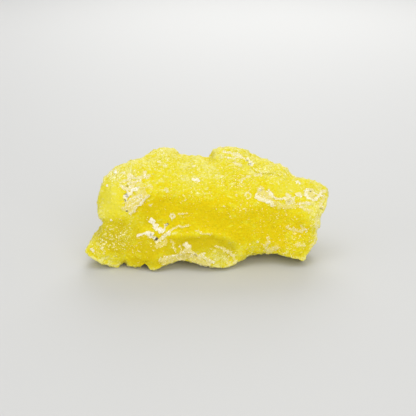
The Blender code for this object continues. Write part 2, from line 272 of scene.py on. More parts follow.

# Where the yellow is deep, because the mass is thick and clean there, and where it is pale, towards the
# broken rim, and on the foot and the knob's left corner, which is painted light where the lamps leave them
# in shade: (place, reach along, reach up, how much deeper or paler). These, and the tables below, are
# ellipses, whole up to the first share of their reach and gone at the second.
ELLIPSE_FADE = (0.35, 1.4)
DEEP_YELLOW = (
    ((-27.5, 9.5), 8.0, 6.0, 0.40),
    ((-13.5, 19.5), 9.0, 5.0, 0.50),
    ((0.0, 17.0), 18.0, 6.5, 0.55),
    ((12.0, 14.5), 15.0, 7.5, 0.50),
    ((22.0, 12.0), 11.0, 6.5, 0.48),
    ((26.5, 6.5), 6.0, 4.0, 0.28),
    ((-5.0, 8.5), 9.0, 3.4, 0.45),
    ((-19.0, 6.5), 9.0, 6.0, 0.50),
    ((6.0, 25.0), 12.0, 4.5, 0.14),
)
PALE_YELLOW_AND_PAINTED_LIGHT = (
    ((-31.0, 22.0), 5.0, 9.0, 0.16),
    ((-27.0, 30.0), 8.0, 4.0, 0.18),
    ((-12.0, 35.5), 8.0, 3.5, 0.16),
    ((-3.0, 30.0), 9.0, 4.5, 0.24),
    ((9.0, 35.5), 10.0, 3.0, 0.15),
    ((20.0, 31.0), 9.0, 3.0, 0.24),
    ((25.0, 26.5), 7.0, 3.0, 0.20),
    ((-34.0, 24.0), 3.0, 5.0, 0.24),
    ((-22.0, 32.8), 7.0, 2.0, 0.24),
    # painted light on the knob's left corner, which lies in shade
    ((1.6, 35.6), 1.6, 1.6, 0.30),
    ((-34.0, 10.0), 3.5, 4.5, 0.26),
    # painted light on the toe's foot, which faces down into shade
    ((-28.0, 3.5), 7.0, 3.0, 0.22),
    ((34.0, 22.0), 5.0, 6.5, 0.26),
    ((34.0, 12.0), 3.0, 8.0, 0.30),
    ((4.0, 2.0), 9.0, 3.0, 0.16),
)

# Painted shade on the show face: the yellow darkened to olive where the face turns from the light, under
# the belly crest, on the toe and foot and along the shoulder seam: (place, reach along, reach up, how
# much).
PAINTED_SHADE_ZONES = (
    ((-27.0, 10.5), 9.0, 6.0, 1.00),
    ((-33.0, 7.5), 5.0, 3.0, 0.30),
    ((-34.0, 20.0), 5.0, 7.0, 0.25),
    ((-15.0, 3.0), 9.0, 4.5, 0.70),
    ((-8.0, 6.8), 7.0, 3.4, 1.20),
    ((-1.0, 7.8), 10.0, 3.2, 1.10),
    ((5.0, 7.2), 5.0, 3.4, 1.10),
    ((-14.5, 18.5), 7.0, 3.5, 0.35),
    ((-20.5, 15.5), 6.0, 3.5, 0.55),
    ((0.0, 16.5), 12.0, 4.0, 0.30),
    ((27.0, 5.5), 7.0, 4.0, 0.40),
    ((17.3, 29.4), 3.0, 0.30, 1.10),
    ((-17.5, 7.5), 6.0, 4.0, 0.85),
)

# Where the yellow is even, with little mottling: (place, reach along, reach up, how even).
EVEN_YELLOW = (
    ((-29.0, 21.5), 5.0, 8.0, 0.65),
    ((25.5, 24.5), 4.5, 2.5, 0.45),
)

# Where the sugar of crystals stands thickest: (place, reach along, reach up, how much).
THICK_SUGAR = (
    ((-27.5, 10.5), 8.0, 5.0, 0.52),
    ((-32.0, 7.5), 5.0, 4.5, 0.48),
    ((-20.5, 8.0), 6.0, 5.0, 0.25),
    ((-27.0, 29.5), 8.0, 4.0, 0.80),
    ((-14.0, 34.5), 10.0, 4.0, 0.55),
    ((-3.0, 29.5), 10.0, 5.0, 0.42),
    ((8.0, 28.5), 9.0, 5.5, 0.50),
    ((-6.0, 23.5), 9.0, 4.0, 0.38),
    ((10.0, 34.0), 9.0, 4.0, 0.52),
    ((21.0, 30.5), 8.0, 3.5, 0.60),
    ((33.0, 22.5), 6.0, 6.0, 0.30),
    ((33.0, 12.0), 3.5, 8.0, 0.50),
    ((21.5, 15.0), 9.0, 5.5, 0.20),
    ((12.0, 18.5), 9.0, 2.5, 0.35),
    ((26.0, 9.0), 6.0, 4.0, 0.42),
    ((5.0, 4.5), 5.5, 3.0, 0.50),
    ((18.0, 7.5), 8.0, 3.0, 0.36),
    ((26.0, 4.5), 7.0, 2.5, 0.45),
)

# What makes a mark ragged: (size of the noise in millimetres, its layers along and up, its reach).
FURROW_STRAY = (3.0, (3.0, 7.0), 0.5)
COARSE_STRAY = (1.6, (11.0, 17.0), 0.28)
FINE_STRAY = (0.7, (23.0, 29.0), 0.34)

# The other noises of the marks: (size in millimetres, layer).
EATEN_NOISE = (0.9, 31.0)
BEHIND_NOISE = (8.0, 2.0)
BEHIND_FINE_NOISE = (2.4, 5.0)
BEHIND_WHITE_NOISE = (1.5, 41.0)
DEPTH_NOISE = (8.0, 13.0)
SUGAR_NOISE = (4.0, 19.0)
DUSK_NOISE = (9.0, 37.0)

# What the marks are where no table says more, on the face and behind it.
EATEN = 0.75  # how far the edge of a scab is eaten into
CRUST_BEHIND = 0.8
SCABS_BEHIND = (0.22, 0.50)  # the noise where the scabs behind start and are whole
WHITE_BEHIND, WHITER_BEHIND = 0.25, 0.6
RIM_BEHIND, RIM_BEFORE = 0.4, 0.6
YELLOW_DEPTH = 0.42
DEPTH_WAVER, DEPTH_WAVER_BEHIND = 0.08, 0.42
# The rim of the show face is made paler: painted glow of light through the thin edge.
RIM_GLOW = 0.08
SUGAR_ON_FACE, SUGAR_BEHIND = 0.02, 0.22
SUGAR_WAVER = 0.6
DUSK_BEHIND = (0.0, 0.6)


def as_seen(points):
    """The points as the eye in front of the show face sees them."""
    away = points - EYE
    scale = EYE_AWAY / (away @ AHEAD) / MM
    return np.stack((away[:, 0] * scale, (away @ ABOVE) * scale), axis=1) + SEEN_MIDDLE


def distance_to_route(places, route):
    """Distance of each place to a route of straight runs."""
    nearest = np.full(len(places), np.inf)
    for start, end in zip(route[:-1], route[1:]):
        start, run = np.array(start), np.array(end) - np.array(start)
        share = np.clip((places - start) @ run / (run @ run), 0.0, 1.0)
        nearest = np.minimum(nearest, np.linalg.norm(places - start - share[:, None] * run, axis=1))
    return nearest


def noise_at(points, size, layer):
    """Smooth noise from about -1 to 1, in bumps of the given size in millimetres."""
    shift = Vector((layer, -layer, 0.5 * layer))
    return np.array([noise.noise(Vector(point) / (size * MM) + shift) for point in points])


def stray(points, size, layers, reach):
    """A shift along and up the face that wanders with the noise, so that a mark laid there is ragged."""
    return np.stack([noise_at(points, size, layer) for layer in layers], axis=1) * reach


def soft_step(values, low, high):
    """0 below low, 1 above high, and smooth between."""
    t = np.clip((values - low) / (high - low), 0.0, 1.0)
    return t * t * (3.0 - 2.0 * t)


def zones(places, table):
    """How deep the places lie in the ellipses of a table, 0 to about 1."""
    total = np.zeros(len(places))
    for middle, along, up, strength in table:
        off = np.hypot((places[:, 0] - middle[0]) / along, (places[:, 1] - middle[1]) / up)
        total = np.maximum(total, strength * (1.0 - soft_step(off, *ELLIPSE_FADE)))
    return total


def points_of(mesh):
    values = np.empty(len(mesh.vertices) * 3, np.float32)
    mesh.vertices.foreach_get("co", values)
    return values.reshape(-1, 3).astype(float)


def normals_of(mesh):
    values = np.empty(len(mesh.vertices) * 3, np.float32)
    mesh.vertex_normals.foreach_get("vector", values)
    return values.reshape(-1, 3).astype(float)


def move_points(mesh, points):
    mesh.vertices.foreach_set("co", points.ravel())
    mesh.update()


def facing(mesh, band):
    """How squarely the skin looks out of the show face, 0 below the band and 1 above it."""
    return soft_step(normals_of(mesh) @ -AHEAD, *band)


def write_value(mesh, name, values):
    attribute = mesh.attributes.get(name) or mesh.attributes.new(name, "FLOAT", "POINT")
    attribute.data.foreach_set("value", np.ascontiguousarray(values, np.float32))


def add_object(name, data):
    made = bpy.data.objects.new(name, data)
    bpy.context.scene.collection.objects.link(made)
    return made


def settle(piece):
    """Applies the piece's modifiers to its mesh."""
    graph = bpy.context.evaluated_depsgraph_get()
    old = piece.data
    piece.data = bpy.data.meshes.new_from_object(piece.evaluated_get(graph))
    piece.modifiers.clear()
    bpy.data.meshes.remove(old)


def fine_skin(solid):
    """The solid's surface in small even cells, its flat faces eased."""
    mesh = solid.data.copy()
    shape = bmesh.new()
    shape.from_mesh(mesh)
    bmesh.ops.remove_doubles(shape, verts=shape.verts, dist=WELD)
    shape.to_mesh(mesh)
    shape.free()
    skin = add_object("brucite_mass", mesh)
    cells = skin.modifiers.new("cells", "REMESH")
    cells.mode = "VOXEL"
    cells.voxel_size = SKIN_CELL
    ease = skin.modifiers.new("ease", "SMOOTH")
    ease.factor = 0.5
    ease.iterations = SKIN_EASING
    settle(skin)
    return skin


def eased(mesh, points, passes):
    """The points, each drawn halfway to the middle of its neighbours once in every pass."""
    edges = np.empty(len(mesh.edges) * 2, np.int32)
    mesh.edges.foreach_get("vertices", edges)
    a, b = edges.reshape(-1, 2).T
    count = len(points)
    share = 1.0 / np.maximum(np.bincount(a, minlength=count) + np.bincount(b, minlength=count), 1)
    points = points.copy()
    for _ in range(passes):
        for axis in range(3):
            around = np.bincount(a, points[b, axis], count) + np.bincount(b, points[a, axis], count)
            points[:, axis] = 0.5 * points[:, axis] + 0.5 * around * share
    return points


def ease_face(mesh):
    """Eases the lumps of the show face, and leaves its outline as it is."""
    points = points_of(mesh)
    flat = eased(mesh, points, FACE_EASING)
    move_points(mesh, flat)
    points += (flat - points) * (FACE_EASED * facing(mesh, EASED_FACE))[:, None]
    move_points(mesh, points)


def shape_skin(mesh):
    """Presses furrows and swells into the show face, and moves the corners and nicks of its outline."""
    points = points_of(mesh)
    places = as_seen(points)
    strayed = places + stray(points, *FURROW_STRAY)
    out = np.zeros(len(points))
    for route, reach, height in FURROWS:
        near = np.clip(1.0 - (distance_to_route(strayed, route) / reach) ** 2, 0.0, 1.0)
        out += height * near**2
    swelling = facing(mesh, SWELLING_FACE)
    for swell in SWELLS:
        out += zones(places, (swell,)) * swelling
    points += normals_of(mesh) * (out * facing(mesh, SHOW_FACE) * MM)[:, None]
    for place, reach, (along, up) in CORNERS:
        near = 1.0 - soft_step(np.hypot(*(places - place).T) / reach, 0.0, 1.0)
        points[:, 0] += near * along * MM
        points += ABOVE * (near * up * MM)[:, None]
    for place, reach, height in NICKS:
        near = np.clip(1.0 - np.abs(places[:, 0] - place[0]) / reach, 0.0, 1.0)
        near *= 1.0 - soft_step(places[:, 1] - place[1], 0.0, NICK_FADE)
        points += ABOVE * (near * height * MM)[:, None]
    move_points(mesh, points)


def scab_marks(points, places, ragged, on_face):
    """How whole the rock on the skin is, and how white it is."""
    crust = np.zeros(len(points))
    white = np.zeros(len(points))
    eaten = EATEN * noise_at(points, *EATEN_NOISE)

    def lay(near, whiteness):
        nonlocal crust, white
        white = np.where(near > crust, whiteness, white)
        crust = np.maximum(crust, near)

    for route, reach, whole, whiteness in SCABS:
        off = distance_to_route(ragged, route) / reach
        lay(whole * soft_step(SCAB_EDGE - off + eaten * off, 0.0, SCAB_FADE), whiteness)
    for place, reach, whole, whiteness in FLECKS:
        off = np.hypot(*(ragged - place).T) / reach
        lay(whole * soft_step(SCAB_EDGE - off + eaten * off, 0.0, SCAB_FADE), whiteness)
    for place, radius, width, whole in RINGS:
        from_middle = np.hypot(*(RING_TRUE * places + RING_RAGGED * ragged - place).T)
        off = np.abs(from_middle - radius) / width
        lay(whole * soft_step(RING_EDGE - off + eaten, 0.0, RING_FADE), RING_WHITENESS)
    crust *= on_face

    # The back and the underside carry scabs of their own, where they broke off the host rock.
    drift = noise_at(points, *BEHIND_NOISE) + 0.5 * noise_at(points, *BEHIND_FINE_NOISE) + 0.2 * eaten
    behind = (1.0 - on_face) * soft_step(drift, *SCABS_BEHIND)
    whiter = np.clip(noise_at(points, *BEHIND_WHITE_NOISE) + 0.3, 0.0, 1.0)
    behind_white = WHITE_BEHIND + WHITER_BEHIND * whiter
    white = np.where(behind > crust, behind_white, white)
    return {"crust": np.maximum(crust, CRUST_BEHIND * behind), "white": white}


def pit_marks(ragged, on_face):
    """How deep the pits in the scabs are, how dark their painted shade is, and how grey."""
    pit = np.zeros(len(ragged))
    dark = np.zeros(len(ragged))
    grey = np.zeros(len(ragged))
    for place, reach, darkness, greyness in PITS:
        off = np.hypot(*(ragged - place).T) / reach
        near = on_face * soft_step(PIT_EDGE - off, 0.0, PIT_FADE)
        grey = np.where(near > pit, greyness, grey)
        dark = np.maximum(dark, near * darkness)
        pit = np.maximum(pit, near)
    return {"pit": pit, "dark": dark, "grey": grey}


def yellow_marks(mesh, points, places, on_face):
    """Where the rim is, how deep and even the yellow is, with painted glow paler at the rim, where painted
    shade darkens it on the face and where it is dimmer at random behind, and how thick the sugar stands on
    it.
    """
    behind = 1.0 - on_face
    rim = 1.0 - facing(mesh, INSIDE_RIM)
    rim *= RIM_BEHIND + RIM_BEFORE * facing(mesh, BEFORE_BACK)
    depth = YELLOW_DEPTH + (zones(places, DEEP_YELLOW) - zones(places, PALE_YELLOW_AND_PAINTED_LIGHT)) * on_face
    waver = DEPTH_WAVER + DEPTH_WAVER_BEHIND * behind
    depth += waver * noise_at(points, *DEPTH_NOISE) - RIM_GLOW * rim * on_face
    sugar = SUGAR_ON_FACE + zones(places, THICK_SUGAR) * on_face + SUGAR_BEHIND * behind
    sugar *= 1.0 + SUGAR_WAVER * noise_at(points, *SUGAR_NOISE)
    # Painted shade on the show face from the table; behind, a dimmer yellow at random from noise.
    shade_and_dusk = zones(places, PAINTED_SHADE_ZONES) * on_face
    shade_and_dusk += behind * soft_step(noise_at(points, *DUSK_NOISE), *DUSK_BEHIND)
    return {
        "rim": rim,
        "shade_and_dusk": shade_and_dusk,
        "even": zones(places, EVEN_YELLOW) * on_face,
        "depth": np.clip(depth, 0.0, 1.0),
        "sugar": np.clip(sugar, 0.0, 1.0),
    }


def mark_skin(mesh):
    """Writes on the skin where everything is that the relief and the material read."""
    points = points_of(mesh)
    places = as_seen(points)
    on_face = facing(mesh, SHOW_FACE)
    ragged = stray(points, *COARSE_STRAY) + stray(points, *FINE_STRAY) + places
    marks = scab_marks(points, places, ragged, on_face)
    marks |= pit_marks(ragged, on_face)
    marks |= yellow_marks(mesh, points, places, on_face)
    for name, values in marks.items():
        write_value(mesh, name, values)


class NodeBench:
    """Adds nodes to a tree and links them by socket name."""

    def __init__(self, tree):
        self.tree = tree

    def add(self, kind, settings=None, **inputs):
        node = self.tree.nodes.new(kind)
        for name, value in (settings or {}).items():
            setattr(node, name, value)
        for name, value in inputs.items():
            self.feed(node.inputs[name.replace("_", " ")], value)
        return node

    def feed(self, socket, value):
        if isinstance(value, bpy.types.NodeSocket):
            self.tree.links.new(value, socket)
        else:
            socket.default_value = value

    def maths(self, operation, a, b=0.0, clamp=False):
        node = self.tree.nodes.new("ShaderNodeMath")
        node.operation = operation
        node.use_clamp = clamp
        self.feed(node.inputs[0], a)
        self.feed(node.inputs[1], b)
        return node.outputs[0]

    def vector_maths(self, operation, *values):
        node = self.add("ShaderNodeVectorMath", {"operation": operation})
        for socket, value in zip(node.inputs, values):
            self.feed(socket, value)
        return node.outputs[0]

    def scaled(self, vector, scale):
        node = self.add("ShaderNodeVectorMath", {"operation": "SCALE"}, Scale=scale)
        self.feed(node.inputs[0], vector)
        return node.outputs[0]

    def between(self, value, low, high):
        """0 at low, 1 at high, and smooth between. High may be the lower of the two."""
        node = self.add("ShaderNodeMapRange", {"interpolation_type": "SMOOTHSTEP"}, Value=value)
        self.feed(node.inputs["From Min"], low)
        self.feed(node.inputs["From Max"], high)
        return node.outputs[0]

    def mixed(self, share, under, over):
        """The colour under, with a share of the colour over."""
        node = self.add("ShaderNodeMix", {"data_type": "RGBA"})
        self.feed(node.inputs[0], share)
        self.feed(node.inputs[6], under)
        self.feed(node.inputs[7], over)
        return node.outputs[2]

    def on_piece(self, name):
        """A value written on the piece."""
        return self.add("ShaderNodeAttribute", {"attribute_name": name}).outputs["Fac"]


def new_geometry_tree(name, sizes):
    """A geometry tree with a geometry in and out and a named input for each size."""
    tree = bpy.data.node_groups.new(name, "GeometryNodeTree")
    tree.interface.new_socket("Geometry", in_out="INPUT", socket_type="NodeSocketGeometry")
    for size, value in sizes.items():
        socket = tree.interface.new_socket(size, in_out="INPUT", socket_type="NodeSocketFloat")
        socket.default_value = value
    tree.interface.new_socket("Geometry", in_out="OUTPUT", socket_type="NodeSocketGeometry")
    bench = NodeBench(tree)
    return bench, bench.add("NodeGroupInput"), bench.add("NodeGroupOutput")


def set_sizes(modifier, sizes):
    for item in modifier.node_group.interface.items_tree:
        if item.in_out == "INPUT" and item.name in sizes:
            modifier[item.identifier] = sizes[item.name]


def named_float(bench, name):
    node = bench.add("GeometryNodeInputNamedAttribute", {"data_type": "FLOAT"}, Name=name)
    return node.outputs["Attribute"]


# The sizes of the skin's relief, which are the named inputs of its tree.
RELIEF = {
    "Sugar Size": 0.85 * MM,
    "Sugar Height": 0.30 * MM,
    "Fine Size": 0.70 * MM,
    "Fine Height": 0.42 * MM,
    "Swell Size": 2.4 * MM,
    "Swell Height": 0.45 * MM,
    "Break Size": 1.5 * MM,
    "Break Height": 1.9 * MM,
    "Rim Wear": 0.22 * MM,
    "Scab Height": 0.22 * MM,
    "Pit Depth": 0.55 * MM,
}
PLAIN_DETAIL = 2.0  # layers of finer noise in the fine relief and the swells
BREAK_DETAIL = 4.0  # and in the broken rim
CRYSTAL_PEAK = 0.5  # the middle of a crystal stands up by this share of the sugar's height
CRYSTAL_ROUNDING = 0.25
LEAST_SUGAR = 0.35  # sugar all over the skin, besides what is written on it
GROUND = (-1.0, -1.0, 0.0)  # no place of the skin is lower than this on any axis
NOISE_MIDDLE = 0.5  # the noise textures waver about this


def relief_tree(material):
    """Raises the sugar, the swells and the scabs, breaks up and wears the rim, and sinks the pits."""
    bench, given, result = new_geometry_tree("skin_relief", RELIEF)
    place = bench.add("GeometryNodeInputPosition").outputs[0]

    def at_size(size):
        return bench.scaled(place, bench.maths("DIVIDE", 1.0, given.outputs[size]))

    def noise_height(size, height, detail):
        texture = bench.add("ShaderNodeTexNoise", Vector=at_size(size), Scale=1.0, Detail=detail)
        centred = bench.maths("SUBTRACT", texture.outputs["Fac"], NOISE_MIDDLE)
        return bench.maths("MULTIPLY", centred, given.outputs[height])

    crystals = bench.add(
        "ShaderNodeTexVoronoi",
        {"feature": "SMOOTH_F1"},
        Vector=at_size("Sugar Size"),
        Scale=1.0,
        Smoothness=CRYSTAL_ROUNDING,
    )
    grown = bench.maths("SUBTRACT", CRYSTAL_PEAK, crystals.outputs["Distance"])
    grown = bench.maths("MULTIPLY", grown, given.outputs["Sugar Height"])
    grown = bench.maths("MULTIPLY", grown, bench.maths("ADD", named_float(bench, "sugar"), LEAST_SUGAR))
    fine = noise_height("Fine Size", "Fine Height", PLAIN_DETAIL)
    swell = noise_height("Swell Size", "Swell Height", PLAIN_DETAIL)
    broken = noise_height("Break Size", "Break Height", BREAK_DETAIL)
    broken = bench.maths("SUBTRACT", broken, given.outputs["Rim Wear"])
    broken = bench.maths("MULTIPLY", broken, named_float(bench, "rim"))
    crust = named_float(bench, "crust")
    scab = bench.maths("MULTIPLY", crust, given.outputs["Scab Height"])
    rough = bench.maths("MULTIPLY", fine, crust)
    sunk = bench.maths("MULTIPLY", named_float(bench, "pit"), given.outputs["Pit Depth"])
    height = grown
    for more in (fine, swell, broken, scab, rough):
        height = bench.maths("ADD", height, more)
    height = bench.maths("SUBTRACT", height, sunk)
    normal = bench.add("GeometryNodeInputNormal").outputs[0]
    moved = bench.vector_maths("ADD", place, bench.scaled(normal, height))
    raised = bench.vector_maths("MAXIMUM", moved, GROUND)
    shifted = bench.add("GeometryNodeSetPosition", Geometry=given.outputs[0], Position=raised)
    made = bench.add("GeometryNodeSetMaterial", Geometry=shifted.outputs[0], Material=material)
    bench.feed(result.inputs[0], made.outputs[0])
    return bench.tree


# How far a place stands proud of its surroundings: (passes that ease them, the most in millimetres, name).
PROUD = (
    (8, 0.12, "proud_near"),
    (110, 0.9, "proud_far"),
)


def mark_edges(mesh):
    """Writes how far each place stands proud of its surroundings, near by and further off."""
    points = points_of(mesh)
    normals = normals_of(mesh)
    flat = points
    for passes, most, name in PROUD:
        flat = eased(mesh, flat, passes)
        proud = ((points - flat) * normals).sum(axis=1) / MM
        write_value(mesh, name, np.clip(proud / most, -1.0, 1.0))


# The noises of the stone: (size, layers of finer noise, kind).
NOISES = {
    "Cloud": (2.4 * MM, 3.0, "FBM"),
    "Mottle": (0.95 * MM, 3.0, "FBM"),
    "Speck": (0.40 * MM, 2.0, "FBM"),
    "Grain": (0.24 * MM, 2.0, "FBM"),
    "Stroke": (0.42 * MM, 2.0, "FBM"),
    "Strand": (1.0 * MM, 4.0, "RIDGED_MULTIFRACTAL"),
}
# Strokes, strands and patches are drawn out along the piece, and wander.
DRAWN = (0.4, 1.0, 1.0)
DRAWN_WANDER = (5.0 * MM, 5.0 * MM)  # size of the noise, reach
PATCH_SIZE = 1.4 * MM
PATCH_EDGE = (0.50, 0.28)
PATCH_CHANCE = (0.45, 0.8)
CRYSTAL_SIZE = 0.60 * MM
CRYSTAL_EDGE = (0.50, 0.22)
CRYSTAL_SHAKE = (0.5 * MM, 0.7 * MM)  # size of the noise, reach


def pushed(bench, place, size, reach):
    """The place, pushed aside by noise of the given size."""
    push = bench.add("ShaderNodeTexNoise", Vector=place, Scale=1.0 / size)
    return bench.vector_maths("MULTIPLY_ADD", push.outputs["Color"], (reach, reach, reach), place)


def celled(bench, place, size):
    """Cells of the given size: how far a place is from its cell's middle, and the cell's chance."""
    texture = bench.add("ShaderNodeTexVoronoi", Vector=place, Scale=1.0 / size)
    colour = bench.add("ShaderNodeSeparateColor", Color=texture.outputs["Color"])
    return texture.outputs["Distance"], colour.outputs[0]


def stone_grain():
    """One group of noises that every material of the stone shares, from clouds down to single grains."""
    tree = bpy.data.node_groups.new("stone_grain", "ShaderNodeTree")
    tree.interface.new_socket("Vector", in_out="INPUT", socket_type="NodeSocketVector")
    for name in (*NOISES, "Patch", "Dot", "Chance"):
        tree.interface.new_socket(name, in_out="OUTPUT", socket_type="NodeSocketFloat")
    bench = NodeBench(tree)
    place = bench.add("NodeGroupInput").outputs[0]
    result = bench.add("NodeGroupOutput")
    drawn = bench.vector_maths("MULTIPLY", pushed(bench, place, *DRAWN_WANDER), DRAWN)
    for name, (size, detail, kind) in NOISES.items():
        at = drawn if name in ("Stroke", "Strand") else place
        texture = bench.add("ShaderNodeTexNoise", {"noise_type": kind}, Vector=at, Detail=detail)
        texture.inputs["Scale"].default_value = 1.0 / size
        bench.feed(result.inputs[name], texture.outputs["Fac"])
    # Patches: here and there a flat oval.
    off, chance = celled(bench, drawn, PATCH_SIZE)
    oval = bench.between(off, *PATCH_EDGE)
    picked = bench.between(chance, *PATCH_CHANCE)
    bench.feed(result.inputs["Patch"], bench.maths("MULTIPLY", oval, picked))
    # Single crystals: an uneven dot in each cell, and the cell's chance of one.
    off, chance = celled(bench, pushed(bench, place, *CRYSTAL_SHAKE), CRYSTAL_SIZE)
    bench.feed(result.inputs["Dot"], bench.between(off, *CRYSTAL_EDGE))
    bench.feed(result.inputs["Chance"], chance)
    return tree


# Colours in linear light.
DEEP = (0.76, 0.58, 0.002, 1.0)
GOLD = (0.765, 0.62, 0.004, 1.0)
# The olive of the painted shade on the face, and of the dimmer yellow at random behind.
DUSK_AND_SHADE = (0.46, 0.37, 0.006, 1.0)
# The darker yellow between the grains, and the painted shade of the small hollows.
GAP_AND_SHADE = (0.54, 0.43, 0.006, 1.0)
LEMON = (0.78, 0.68, 0.018, 1.0)
PALE = (0.79, 0.71, 0.07, 1.0)
RIM = (0.84, 0.78, 0.24, 1.0)
FROST = (0.93, 0.90, 0.48, 1.0)
CREAM = (0.80, 0.69, 0.25, 1.0)
ROCK_WHITE = (0.97, 0.95, 0.87, 1.0)
# The painted shade in the dark pits.
PAINTED_PIT_SHADE = (0.10, 0.085, 0.05, 1.0)
PIT_GREY = (0.36, 0.34, 0.33, 1.0)

# The yellow, from the palest to the deepest: (depth, colour).
YELLOWS = (
    (0.0, RIM),
    (0.2, PALE),
    (0.48, LEMON),
    (0.75, GOLD),
    (1.0, DEEP),
)

# The finish of the skin: how much light goes into it, how far as red, green and blue, and how it shines.
GLOW_SHARE = 0.15
GLOW_COLOURS = (1.0, 0.85, 0.25)
SKIN_GLOW = 0.7 * MM
YELLOW_SHINE = 0.06
SKIN_ROUGHNESS = 0.5
ROCK_ROUGHER = 0.25
FROST_SMOOTHER = -0.12
SKIN_BUMP = 0.28 * MM
SKIN_BUMP_STRENGTH = 1.0

# What is added to the depth of the yellow in a patch, and the painted shade from how far it stands proud
# near by or further off: deeper in hollows, paler on ridges.
PATCH_MIDDLE, PATCH_DEPTH = 0.2, -0.42
NEAR_HOLLOW_SHADE = -0.25
FAR_HOLLOW_SHADE = -0.15

# The most that each of these takes over of the colour under it, and what makes it more.
MOST_SHADE_AND_DUSK = 0.5
MOST_HOLLOW_SHADE = 0.25
MOST_DARK_GAP = 0.34
MOST_RIM_GLOW = 0.75
MOST_DUST = 0.70
MOST_HAZE = 0.05
SPECKS_ON_SUGAR, SPECKS_ON_PROUD = 0.22, 0.06
FROST_ON_BARE, FROST_ON_SUGAR = 0.40, 1.1
STRAND_MIDDLE, STRAND_WHITER = 0.4, 0.75
CREAM_SOLID, WHITE_MORE_SOLID = 0.55, 0.45

# Where each of these starts and where it is whole, as the value behind it.
SHADE_AND_DUSK_DEPTH = (0.05, 1.1)
SUNK_SHADE = (0.05, 0.9)
DARK_GRAIN = (0.0, 0.24)
EDGE_ON = (0.55, 0.98)
DUSTY = (0.23, 0.36)
HAZY = (0.50, 0.78)
GATHERED = (0.40, 0.62)
ROCK_LAID = (0.30, 0.52)
ROCK_NEAR = (0.05, 0.35)
STRANDED = (0.45, 0.95)
PIT_SHADE = (0.1, 0.9)
PIT_NEAR = (0.02, 0.2)

# Pale crystals: a cell holds one where its chance is over RARE, less what the sugar takes off that.
RARE = 0.985
LESS_RARE = 0.50
GATHERED_MORE = 1.5
CHANCE_FADE = 0.12

grain_group = stone_grain()


def start_material(name):
    """A material with its shader, and the grain's outputs at the piece's own places."""
    material = bpy.data.materials.new(name)
    material.use_nodes = True
    bench = NodeBench(material.node_tree)
    place = bench.add("ShaderNodeTexCoord").outputs["Object"]
    grain = bench.add("ShaderNodeGroup", {"node_tree": grain_group})
    bench.feed(grain.inputs[0], place)
    return material, bench, material.node_tree.nodes["Principled BSDF"], grain.outputs


def weighed(bench, start, *terms):
    """The start plus each (value, middle, weight), as (value - middle) * weight."""
    total = start
    for value, middle, weight in terms:
        part = bench.maths("MULTIPLY", bench.maths("SUBTRACT", value, middle), weight)
        total = bench.maths("ADD", total, part)
    return total


def grained(grain, **weights):
    """Terms for weighed: the named noises of the grain, each with its weight."""
    return [(grain[name], NOISE_MIDDLE, weight) for name, weight in weights.items()]


def ramped(bench, value, *stops):
    """The colour for a value, from stops of (value, colour)."""
    node = bench.add("ShaderNodeValToRGB", Fac=value)
    first, last = node.color_ramp.elements
    first.position, first.color = stops[0]
    last.position, last.color = stops[-1]
    for position, colour in stops[1:-1]:
        node.color_ramp.elements.new(position).color = colour
    return node.outputs["Color"]


def roughened(bench, shader, height, strength, depth):
    """Gives the shader a fine relief that is too small for the mesh."""
    bump = bench.add("ShaderNodeBump", Height=height, Strength=strength, Distance=depth)
    bench.feed(shader.inputs["Normal"], bump.outputs[0])


def glassy(shader, depth):
    """Light goes a little way into the yellow before it comes out."""
    shader.inputs["Specular IOR Level"].default_value = YELLOW_SHINE
    shader.inputs["Subsurface Weight"].default_value = GLOW_SHARE
    shader.inputs["Subsurface Radius"].default_value = GLOW_COLOURS
    shader.inputs["Subsurface Scale"].default_value = depth


def mottled_yellow(bench, grain, near, lively):
    """The yellow, deep where the mass is thick, mottled where it is lively, deeper with painted shade in
    hollows and paler on ridges, and darkened with painted shade in places on the face and dimmer at random
    behind.
    """
    # Painted shade and light: deeper in hollows and paler on ridges, near by and further off.
    mottled = weighed(
        bench,
        0.0,
        *grained(grain, Cloud=1.1, Mottle=1.3, Stroke=1.4),
        (grain["Patch"], PATCH_MIDDLE, PATCH_DEPTH),
        (near, 0.0, NEAR_HOLLOW_SHADE),
    )
    deep = weighed(
        bench,
        bench.on_piece("depth"),
        (bench.maths("MULTIPLY", mottled, lively), 0.0, 1.0),
        (bench.on_piece("proud_far"), 0.0, FAR_HOLLOW_SHADE),
    )
    colour = ramped(bench, deep, *YELLOWS)
    # Painted shade on the show face, and a dimmer yellow at random behind.
    shade_and_dusk_share = weighed(bench, bench.on_piece("shade_and_dusk"), *grained(grain, Cloud=0.6, Speck=0.6))
    shade_and_dusk_share = bench.maths("MULTIPLY", bench.between(shade_and_dusk_share, *SHADE_AND_DUSK_DEPTH), MOST_SHADE_AND_DUSK)
    return bench.mixed(shade_and_dusk_share, colour, DUSK_AND_SHADE)


def with_gaps_and_hollow_shade(bench, grain, near, lively, colour):
    """The colour with painted shade in the small hollows, and darker gaps between the grains at random."""
    # Painted shade in the small hollows, where a place lies below its surroundings.
    sunk = bench.between(bench.maths("MULTIPLY", near, -1.0), *SUNK_SHADE)
    dark = weighed(bench, 0.0, *grained(grain, Mottle=-0.9, Speck=-1.0))
    dark = bench.between(dark, *DARK_GRAIN)
    sunk = bench.maths("MULTIPLY", sunk, MOST_HOLLOW_SHADE)
    gap = bench.maths("ADD", sunk, bench.maths("MULTIPLY", dark, MOST_DARK_GAP))
    return bench.mixed(bench.maths("MULTIPLY", gap, lively), colour, GAP_AND_SHADE)


def with_painted_rim_glow(bench, colour):
    """The colour with painted glow on the thin rim, which passes more light and looks paler."""
    facing_away = bench.add("ShaderNodeLayerWeight", Blend=0.5).outputs["Facing"]
    edge_on = bench.between(facing_away, *EDGE_ON)
    return bench.mixed(bench.maths("MULTIPLY", edge_on, MOST_RIM_GLOW), colour, RIM)


